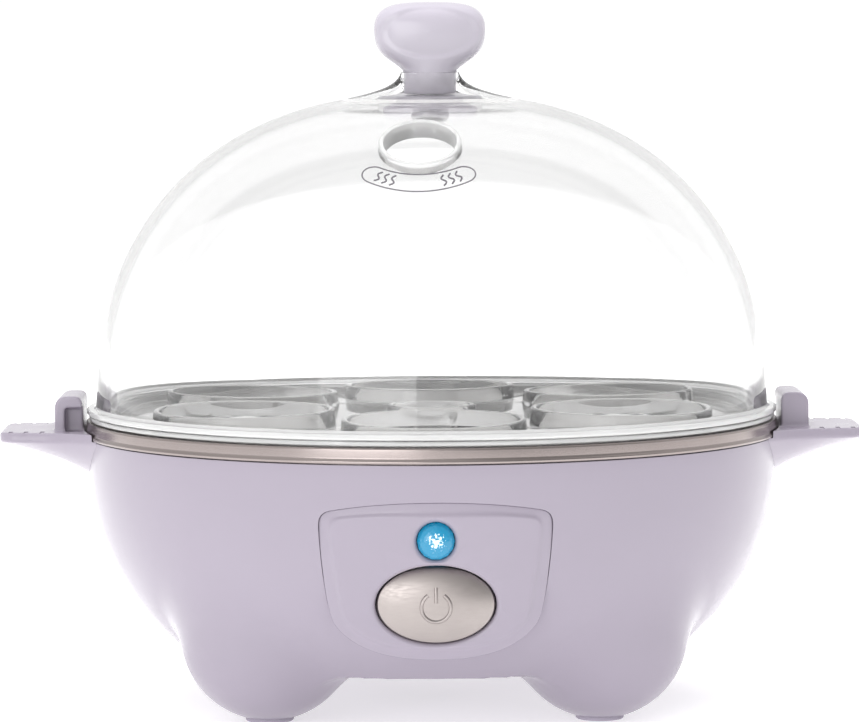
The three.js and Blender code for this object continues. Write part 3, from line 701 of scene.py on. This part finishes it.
# ---------------------------------------------------------------- egg tray
def make_tray():
    low, rim_low, rim_top = TRAY_LOW, RIM_TOP + GAP, RIM_LOW + 4.4
    deck = 68.5
    outline = rounded([
        (0, low), (deck, low, 0.5), (deck, rim_low, 0.3), (TRAY_RADIUS, rim_low, 0.3),
        (TRAY_RADIUS, rim_top, 0.4), (deck - 1.1, rim_top, 0.5), (deck - 1.1, low + 1, 0.3), (0, low + 1),
    ])
    tray = revolve("egg_tray_plate", outline, 128)
    hole, collar, top = 17.3, 1.3, span("egg_tray")[1][2]
    rings = [(x, y, hole, top) for x, y in
             [(45 * math.cos(math.radians(a)), 45 * math.sin(math.radians(a))) for a in range(30, 390, 60)]]
    rings.append((0, 0, 8, low + 3.5))
    for x, y, radius, height in rings:
        wall = rounded([(0, low), (radius + collar + 0.5, low), (radius + collar, height, 0.5),
                        (radius - 0.5, height), (0, height)])
        joined(tray, revolve("collar", wall, 64, at=(x, y, 0)))
    for x, y, radius, height in rings:
        flare = [(0, low - 1), (radius, low - 1), (radius, height - 0.6), (radius + 0.25, height - 0.15),
                 (radius + 0.8, height + 0.1), (radius + 0.8, height + 1), (0, height + 1)]
        cut(tray, revolve("bore", flare, 64, at=(x, y, 0)))
    finished(tray, tray_clear, "tray", ["egg_tray"])
    hazed(tray, rim_top + 1)


# ---------------------------------------------------------------- lid
# The lid sits turned a little on the tray, so the vent is off the front.
VENT_TILT = math.radians(32)
VENT_REACH = 43.2
VENT_HEIGHT = 62.0
VENT_COLLAR = 8.4
VENT_PROUD = 0.9
VENT_BORE = 7.4
FLARE_FOOT = 17.8
FLARE_LOW = 68
VENT_TURN = math.radians(-3.3)
VENT_FRONT = np.array([math.sin(VENT_TURN), -math.cos(VENT_TURN), 0])
VENT_ACROSS = np.array([math.cos(VENT_TURN), math.sin(VENT_TURN), 0])
VENT_AT = VENT_FRONT * VENT_REACH + np.array([0, 0, RIM_LOW + VENT_HEIGHT])
VENT_OUT = VENT_FRONT * math.sin(VENT_TILT) + np.array([0, 0, math.cos(VENT_TILT)])


def tilted_revolve(name, outline, steps):
    """Turns an outline about the vent's axis, heights measured along it."""
    made = revolve(name, outline, steps)
    across = VENT_ACROSS
    up_slope = np.cross(VENT_OUT, across)
    points = np.array([v.co for v in made.data.vertices])
    points = VENT_AT + points @ np.array([across, up_slope, VENT_OUT])
    made.data.vertices.foreach_set("co", points.ravel())
    made.data.update()
    return made


def make_dome():
    flange_low, flange_top, bore = LID_LOW, LID_LOW + 1.1, 5.9
    outer = dome_side(0, 7, 74, 48)
    flare = bezier([outer[-1], (11, RIM_LOW + 71.9), (7.0, RIM_LOW + 73.2), (bore + 0.2, LID_TOP)], 12)
    under_flare = bezier([(bore, RIM_LOW + 73.4), (7.0, RIM_LOW + 71.2), (9.5, RIM_LOW + 70.8),
                          (14.7, RIM_LOW + 69.1)], 8)
    inner = dome_side(DOME_WALL, 7, 80, 48)[::-1]
    flange = rounded([
        (69.0, flange_low + 1), (69.0, flange_low, 0.3), (LID_FLANGE, flange_low, 0.3),
        (LID_FLANGE, flange_top, 0.4), (71.2, flange_top + 0.1, 0.9), tuple(outer[0]),
    ], 5)
    outline = [*flange[:-1], *outer, *flare[1:], (bore, LID_TOP - 0.1), *under_flare[:-1], *inner]
    dome = revolve("clear_dome", outline, 160)
    collar = rounded([
        (0, -1.2), (8.6, -1.2), (VENT_COLLAR, 0, 0.5), (VENT_COLLAR, VENT_PROUD, 0.45),
        (7.3, VENT_PROUD), (0, VENT_PROUD),
    ], 5)
    joined(dome, tilted_revolve("collar", collar, 96))
    bore_outline = [(0, -8), (VENT_BORE, -8), (VENT_BORE, 0.5), (7.45, 0.8), (7.7, 0.95), (7.7, 8), (0, 8)]
    cut(dome, tilted_revolve("bore", bore_outline, 96))
    finished(dome, clear, "lid", ["lid_dome"])
    hazed(dome, flange_top + 0.6)
    edged(dome)


def hazed(piece, top):
    """Gives a clear piece's thick rim, up to a level, the milkier look of its edge."""
    piece.data.materials.append(hazy)
    for face in piece.data.polygons:
        x, y, z = face.center / MM
        if z < top and math.hypot(x, y) > LID_FLANGE - 5:
            face.material_index = 1


def edged(dome):
    """Gives the dome's flare a clearer plastic and its vent ring the milkier look of an edge."""
    dome.data.materials.append(thin)
    for face in dome.data.polygons:
        place = np.array(face.center) / MM
        from_vent = place - VENT_AT
        height = from_vent @ VENT_OUT
        across = np.linalg.norm(from_vent - height * VENT_OUT)
        on_wall = abs(np.array(face.normal) @ VENT_OUT) < 0.5 and -4 < height and across < 7.9
        if math.hypot(place[0], place[1]) < FLARE_FOOT and place[2] > RIM_LOW + FLARE_LOW:
            face.material_index = 2
        elif on_wall or (across < 9 and height > 0.15):
            face.material_index = 1


def superellipse(half_x, half_y, power, z, count=72):
    angles = np.linspace(0, 2 * math.pi, count, endpoint=False)
    c, s = np.cos(angles), np.sin(angles)
    x = half_x * np.sign(c) * np.abs(c) ** (2 / power)
    y = half_y * np.sign(s) * np.abs(s) ** (2 / power)
    return np.column_stack([x, y, np.full(count, z)])


def make_knob():
    """A round neck that widens into a flat paddle with a shallow oval face on each side."""
    neck = 5.6
    edge = np.vstack([
        bezier([(neck, RIM_LOW + 76.4), (7.9, RIM_LOW + 79.0),
                (KNOB_HALF, RIM_LOW + 79.2), (KNOB_HALF, RIM_LOW + 85.0)], 22),
        bezier([(KNOB_HALF, RIM_LOW + 85.0), (KNOB_HALF, KNOB_TOP - 0.4),
                (7.2, KNOB_TOP), (0.2, KNOB_TOP)], 26)[1:],
    ])
    rows = [superellipse(neck, neck, 2, z) for z in (KNOB_LOW, RIM_LOW + 72.5, RIM_LOW + 75)]
    for half_x, z in edge:
        rise = (z - RIM_LOW - 76.6) / (KNOB_TOP - RIM_LOW - 76.6)
        widen = min(rise / 0.45, 1)
        grown = widen * widen * (3 - 2 * widen)
        half_y = neck + (KNOB_DEPTH - neck) * grown
        if z > RIM_LOW + 85.4:
            down = (z - RIM_LOW - 85.4) / (KNOB_TOP - RIM_LOW - 85.4)
            half_y *= math.sqrt(max(1 - down ** 3.2, 0.0004))
        rows.append(superellipse(half_x, half_y, 2 + 0.9 * grown, z))
    knob = lofted("paddle_knob", rows)
    softened(knob, 0.32, 4)
    points = np.array([v.co for v in knob.data.vertices])
    reach = np.sqrt((points[:, 0] / 9.7) ** 2 + ((points[:, 2] - RIM_LOW - 84.7) / 5.2) ** 2)
    dip = 0.55 * np.clip((1.08 - reach) / 0.16, 0, 1)
    swell = 0.45 * np.clip(1 - reach, 0, 1)
    points[:, 1] -= np.sign(points[:, 1]) * np.clip(np.abs(points[:, 1]) - 2, 0, 1) * (dip - swell)
    knob.data.vertices.foreach_set("co", points.ravel())
    modified(knob, "SMOOTH", iterations=3, factor=0.5)
    finished(knob, knob_lilac_painted_light, "lid", ["lid_knob"], angle=70)


def make_washer():
    low, high = span("knob_washer")
    reach = high[0]
    outline = rounded([(3, low[2]), (reach, low[2], 0.7), (reach, high[2], 0.5), (2.3, high[2]),
                       (2.3, low[2]), (3, low[2])])
    washer = revolve("knob_base_washer", outline[:-1], 96)
    finished(washer, knob_lilac_painted_light, "lid", ["knob_washer"])
    low, high = span("knob_screw")
    head = low[2] + 2.2
    screw = rounded([(0, low[2]), (3.2, low[2], 0.8), (4, low[2] + 1, 0.4), (4, head, 0.2),
                     (2, head), (2, high[2], 0.4), (0, high[2])])
    made = revolve("knob_fixing_screw", screw, 48)
    for turn in (0, 1):
        size = (0.5, 2.2) if turn else (2.2, 0.5)
        cut(made, block("slot", (-size[0], -size[1], low[2] - 1), (size[0], size[1], low[2] + 1.2)))
    finished(made, zinc, "lid", ["knob_screw"])


# ---------------------------------------------------------------- control panel
def face_radius(z):
    face = panel_face()
    return np.interp(z, face[:, 1], face[:, 0])


def round_hole(grow, steps=72):
    angles = np.linspace(0, 2 * math.pi, steps, endpoint=False)
    reach = LENS_RADIUS + grow
    return np.column_stack([reach * np.cos(angles), LENS_Z + reach * np.sin(angles)])


def lipped(name, outline, play):
    """A hole's cutter whose mouth flares out to a rounded lip that follows the panel's face."""
    rows = []
    lip = ((1.6, -2.0), (1.05, -0.05), (0.75, 0.06), (0.5, 0.2), (0.28, 0.42), (0.1, 0.75), (0, 1.2))
    for grow, depth in lip:
        ring = outline(play + grow)
        y = -np.sqrt(face_radius(ring[:, 1]) ** 2 - ring[:, 0] ** 2) + depth
        rows.append(np.column_stack([ring[:, 0], y, ring[:, 1]]))
    ring = outline(play)
    rows.append(np.column_stack([ring[:, 0], np.full(len(ring), -50.0), ring[:, 1]]))
    return lofted(name, rows)


def make_panel():
    outline = shield(0)
    centre = np.array([0, (PANEL_LOW[2] + PANEL_HIGH[2]) / 2])
    reach = np.linalg.norm(outline - centre, axis=1)
    rows = []
    for back in (8.0, 2.2):
        y = -np.sqrt(face_radius(outline[:, 1]) ** 2 - outline[:, 0] ** 2) + back
        rows.append(np.column_stack([outline[:, 0], y, outline[:, 1]]))
    side = bowl_side(0, BOWL_TOP)
    proud = face_radius(outline[:, 1]) - np.interp(outline[:, 1], side[:, 1], side[:, 0])
    fall = np.clip(proud + 0.1, 0.75, 1.2)
    for inset in (0, 0.12, 0.35, 0.8, 1.4, 1.9, 2.15, 2.4, 2.65, 2.9, 3.4, 5, 8, 11, 13.5):
        flat = centre + (outline - centre) * np.maximum(1 - inset / reach, 0.02)[:, None]
        share = np.interp(inset, (0, 0.12, 0.35, 1.9, 2.15, 2.65, 2.9), (1.2, 0.98, 0.93, 0.66, 0.52, 0.1, 0))
        drop = fall * share
        y = -np.sqrt(face_radius(flat[:, 1]) ** 2 - flat[:, 0] ** 2) + drop
        rows.append(np.column_stack([flat[:, 0], y, flat[:, 1]]))
    panel = lofted("panel_fascia", rows)
    core = [(0, 0), *bowl_side(1.0, 60, 40), (0, 60)]
    cut(panel, revolve("bowl_core", core, 160))
    collar = prism("collar", oval(2.0), -64, -58.5)
    joined(panel, collar)
    cut(panel, lipped("well", oval, 0.2))
    cut(panel, lipped("lens_hole", round_hole, 0.08))
    finished(panel, lilac, "base", ["control_panel"], angle=28)


# How far the button's crown stands proud of its rim, and how flat its middle is.
CROWN = 1.75
CROWN_POWER = 2.6


def crown_height(x, z):
    """How far the button's crown stands in front of its rim at a place on its face."""
    half_z = (BUTTON_HIGH[2] - BUTTON_LOW[2]) / 2
    reach = np.clip(np.hypot(x / BUTTON_HIGH[0], (z - BUTTON_Z) / half_z), 0, 1)
    return CROWN * (1 - reach ** CROWN_POWER)


def make_button():
    half_z = (BUTTON_HIGH[2] - BUTTON_LOW[2]) / 2
    front = BUTTON_LOW[1]
    rows = [(0.93, front + 4.6), (1.0, front + 4.0), (1.0, front + 2.3), (0.99, front + 2.0)]
    rows += [(r, front + CROWN - CROWN * (1 - r ** CROWN_POWER)) for r in np.linspace(0.975, 0.02, 26)]
    angles = np.linspace(0, 2 * math.pi, 120, endpoint=False)
    rings = [np.column_stack([r * BUTTON_HIGH[0] * np.cos(angles), np.full(120, y),
                              BUTTON_Z + r * half_z * np.sin(angles)]) for r, y in rows]
    button = lofted("button_cap", rings)
    stem = [(0, front + 4), (2.4, front + 4), (2.4, BUTTON_HIGH[1]), (0, BUTTON_HIGH[1])]
    joined(button, revolve("stem", stem, 24, "y", (0, 0, BUTTON_Z)))
    finished(button, satin, "button", ["power_button"], angle=40)

    ring_radius, ring_z = 2.9, BUTTON_Z - 0.5
    opening = math.radians(34)
    turns = np.linspace(math.pi / 2 + opening, math.pi / 2 + 2 * math.pi - opening, 60)
    ring = [(ring_radius * math.cos(a), ring_z + ring_radius * math.sin(a)) for a in turns]
    bar = [(0, z) for z in np.linspace(ring_z + 0.9, ring_z + 4.0, 12)]
    marks = []
    for line in (ring, bar):
        path = [(x, front + CROWN - crown_height(x, z) + 0.1, z) for x, z in line]
        marks.append(sweep("mark", path, 0.4, 12))
    symbol = joined(marks[0], marks[1])
    symbol.name = "power_symbol"
    finished(symbol, satin, "button", angle=50)


def make_spring():
    """The button's return spring, a wire coil running along the button's travel."""
    low, high = span("button_spring")
    wire, turns, steps = 0.45, 4, 128
    coil = high[0] - wire
    angles = np.linspace(0, 2 * math.pi * turns, steps)
    along = np.linspace(low[1] + wire, high[1] - wire, steps)
    path = np.column_stack([coil * np.cos(angles), along, BUTTON_Z + coil * np.sin(angles)])
    spring = sweep("return_spring", path, wire, 10)
    finished(spring, zinc, "button", ["button_spring"], angle=60)
    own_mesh(spring)


def make_lens():
    """A light pipe with a faceted, domed face."""
    front = LENS_LOW[1]
    sides = 14
    rows = []
    rings = [(0.4, front), (1.4, front + 0.12), (2.4, front + 0.45), (3.2, front + 1.0),
             (LENS_RADIUS, front + 1.9)]
    for i, (radius, y) in enumerate(rings):
        angles = np.linspace(0, 2 * math.pi, sides, endpoint=False) + (i % 2) * math.pi / sides
        rows.append(np.column_stack([radius * np.cos(angles), np.full(sides, y),
                                     LENS_Z + radius * np.sin(angles)]))
    for radius, y in [(LENS_RADIUS, front + 6), (2.5, front + 6.2), (2.5, LENS_HIGH[1])]:
        rows.append(np.column_stack([radius * np.cos(angles), np.full(sides, y),
                                     LENS_Z + radius * np.sin(angles)]))
    lens = lofted("faceted_lens", rows)
    modified(lens, "TRIANGULATE")
    finished(lens, lit_lens(), "base", ["indicator_lens"], angle=0)


def make_label():
    """A small printed pill outline with three rising steam waves at each end, under the vent."""
    def on_dome(x, s):
        """A place on the dome's front, s millimetres down its slope from the label's middle."""
        angle = np.radians(np.linspace(10, 80, 400))
        flat = 2 / DOME_POWER
        radius = DOME_RADIUS * np.cos(angle) ** flat
        height = DOME_BASE + DOME_RISE * np.sin(angle) ** flat
        away = np.concatenate([[0], np.cumsum(np.hypot(np.diff(radius), np.diff(height)))])
        middle = np.interp(RIM_LOW + 54.7, height, away)
        r = np.interp(middle - s, away, radius)
        z = np.interp(middle - s, away, height)
        turn = x / r + VENT_TURN
        return (r * math.sin(turn), -r * math.cos(turn) - 0.03, z + 0.03)
    half, end, bend = 9.5, 2.4, 18.5

    def bent(x, s):
        """Bends the straight label round a point up the slope, so it cups the vent."""
        return on_dome((bend + s) * math.sin(x / bend), (bend + s) * math.cos(x / bend) - bend)
    pill = [(half + end * math.cos(a), end * math.sin(a)) for a in np.linspace(-math.pi / 2, math.pi / 2, 16)]
    left_end = np.linspace(math.pi / 2, 3 * math.pi / 2, 16)
    pill += [(-half + end * math.cos(a), end * math.sin(a)) for a in left_end]
    dense = []
    for (ax, ay), (bx, by) in zip(pill, pill[1:] + pill[:1]):
        steps = max(1, int(math.hypot(bx - ax, by - ay) / 0.5))
        dense += [(ax + (bx - ax) * k / steps, ay + (by - ay) * k / steps) for k in range(steps)]
    line = sweep("steam_mark", [bent(x, s) for x, s in dense], 0.15, 6, closed=True)
    for x in (-8.4, -6.8, -5.2, 5.2, 6.8, 8.4):
        wave = [(x + 0.4 * math.sin(s * 2.6), s) for s in np.linspace(-1.5, 1.5, 20)]
        joined(line, sweep("wave", [bent(a, s) for a, s in wave], 0.18, 6))
    finished(line, grey_ink, "lid", angle=50)


# ---------------------------------------------------------------- underside and back
def make_fixings():
    cover_low, cover_high = span("bottom_cover")
    reach = cover_high[0]
    outline = rounded([(0, cover_low[2]), (reach, cover_low[2], 0.4), (reach, 12.6, 0.3), (20.7, 12.6),
                       (20.7, cover_high[2], 0.3), (18.7, cover_high[2], 0.3), (18.7, 12.6), (0, 12.6)])
    cover = revolve("underside_cover", outline, 128)
    for x in (-9, -3, 3, 9):
        cut(cover, block("slot", (x - 1, -8, 0), (x + 1, 8, 20)))
    for i in (1, 2, 3):
        low, high = span(f"cover_screw_{i}")
        x, y = (low[0] + high[0]) / 2, (low[1] + high[1]) / 2
        cut(cover, revolve("hole", [(0, 0), (1.5, 0), (1.5, 20), (0, 20)], 24, at=(x, y, 0)))
    finished(cover, lilac, "base", ["bottom_cover"])
    for prefix, head, shank, thick in (("cover_screw", 2.8, 1.2, 1.5), ("dish_screw", 3.2, 1.5, 2.5)):
        for i in (1, 2, 3):
            low, high = span(f"{prefix}_{i}")
            x, y = (low[0] + high[0]) / 2, (low[1] + high[1]) / 2
            z = low[2]
            outline = rounded([(0, z), (head, z, 0.9), (head, z + thick, 0.2), (shank, z + thick),
                               (shank, high[2], 0.3), (0, high[2])])
            screw = revolve(f"{prefix}_{i}_cross", outline, 40, at=(x, y, 0))
            for w, d in ((0.35, 1.6), (1.6, 0.35)):
                cut(screw, block("slot", (x - w, y - d, z - 1), (x + w, y + d, z + 1)))
            finished(screw, zinc, "base", [f"{prefix}_{i}"])
    low, high = span("cord_gland")
    z = (low[2] + high[2]) / 2
    flange_y = high[1] - 2.1
    outline = rounded([(3.3, low[1]), (6, low[1], 0.4), (6, flange_y, 0.2), (8.6, flange_y, 0.3),
                       (8.6, high[1], 0.9), (4.1, high[1], 0.5), (3.3, high[1] - 1.2, 0.5), (3.3, low[1])])
    bush = revolve("gland_bush", outline[:-1], 72, "y", (0, 0, z))
    finished(bush, rubber, "base", ["cord_gland"])


HIDDEN = {
    "heating_element": zinc, "element_terminal_left": ceramic, "element_terminal_right": ceramic,
    "heat_shield": spun, "thermostat": ceramic, "thermostat_bracket": zinc,
    "bracket_screw_left": zinc, "bracket_screw_right": zinc, "thermal_fuse": ceramic,
    "control_board": laminate, "board_screw_left": zinc, "board_screw_right": zinc,
    "push_switch": black, "buzzer": black, "indicator_lamp": silicone, "gland_nut": zinc,
    "switch_plunger": ceramic,
}


def finish_hidden():
    """Better finishes on the pieces inside, which keep their CAD shapes."""
    for name, made in HIDDEN.items():
        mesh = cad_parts[name].data
        if mesh.materials:
            mesh.materials[0] = made
        else:
            mesh.materials.append(made)


# ---------------------------------------------------------------- stage
def make_stage():
    white = material("floor_paper", (0.88, 0.88, 0.88), 0.9)
    cloud = object_noise(white, 0.8)
    link(white, varied_colour(white, ranged(white, cloud, 0, 1), (0.87, 0.87, 0.87), (0.89, 0.89, 0.89)),
         shader_of(white).inputs["Base Color"])
    shader_of(white).inputs["Emission Color"].default_value = (1, 1, 1, 1)
    shader_of(white).inputs["Emission Strength"].default_value = 0.5
    angles = np.linspace(0, 2 * math.pi, 64, endpoint=False)
    ring = [(40000 * math.cos(a), 40000 * math.sin(a), 0) for a in angles]
    floor = new_object("floor", ring, [tuple(range(64))])
    points = np.array([v.co for v in floor.data.vertices]) * MM
    floor.data.vertices.foreach_set("co", points.ravel())
    floor.data.materials.append(white)

    world = bpy.data.worlds.new("studio")
    bpy.context.scene.world = world
    world.use_nodes = True
    tree = world.node_tree
    back = tree.nodes["Background"]
    place = tree.nodes.new("ShaderNodeTexCoord")
    split = tree.nodes.new("ShaderNodeSeparateXYZ")
    ramp = tree.nodes.new("ShaderNodeValToRGB")
    tree.links.new(place.outputs["Generated"], split.inputs["Vector"])
    tree.links.new(split.outputs["Z"], ramp.inputs["Fac"])
    set_stops(ramp, [(0.0, 1.03), (0.1, 1.03), (0.28, 0.94), (0.6, 0.82), (0.85, 0.9), (1.0, 0.9)])
    across = tree.nodes.new("ShaderNodeMapRange")
    across.inputs["From Min"].default_value = -1
    side = tree.nodes.new("ShaderNodeValToRGB")
    set_stops(side, [(0.0, 1.1), (0.25, 1.15), (0.5, 0.95), (0.68, 0.55), (1.0, 0.6)])
    in_front = tree.nodes.new("ShaderNodeMapRange")
    for name, number in (("From Min", 0), ("From Max", -0.3)):
        in_front.inputs[name].default_value = number
    blend = tree.nodes.new("ShaderNodeMixRGB")
    blend.blend_type = "MULTIPLY"
    tree.links.new(split.outputs["X"], across.inputs["Value"])
    tree.links.new(across.outputs["Result"], side.inputs["Fac"])
    tree.links.new(split.outputs["Y"], in_front.inputs["Value"])
    tree.links.new(in_front.outputs["Result"], blend.inputs["Fac"])
    tree.links.new(ramp.outputs["Color"], blend.inputs["Color1"])
    tree.links.new(side.outputs["Color"], blend.inputs["Color2"])
    tree.links.new(blend.outputs["Color"], back.inputs["Color"])
    back.inputs["Strength"].default_value = 1.0


def set_stops(ramp, stops):
    """Grey levels along a colour ramp, the first at its start and the last at its end."""
    elements = ramp.color_ramp.elements
    for position, _ in stops[1:-1]:
        elements.new(position)
    for element, (_, value) in zip(elements, stops):
        element.color = (value, value, value, 1)


def area_light(name, at, towards, size, power):
    data = bpy.data.lights.new(name, "AREA")
    data.shape = "RECTANGLE"
    data.size, data.size_y = size
    data.energy = power
    light = bpy.data.objects.new(name, data)
    bpy.context.scene.collection.objects.link(light)
    light.location = at
    light.rotation_euler = (Vector(towards) - Vector(at)).to_track_quat("-Z", "Y").to_euler()
    return light


def make_lights():
    middle = (0, 0, 0.07)
    overhead = area_light("overhead", (0, 0.1, 1.3), middle, (1.2, 1.2), 14)
    overhead.visible_glossy = False
    overhead.visible_transmission = False
    area_light("left_front", (-0.5, -1.25, 0.3), middle, (0.8, 0.5), 3.2)


bpy.context.scene.view_settings.view_transform = "Standard"
make_camera()
make_stage()
make_lights()
make_housing()
make_feet()
make_handle("handle_right", False)
make_handle("handle_left", True)
make_dish()
make_gasket()
make_tray()
make_dome()
make_knob()
make_washer()
make_panel()
make_button()
make_spring()
make_lens()
make_label()
make_fixings()
finish_hidden()
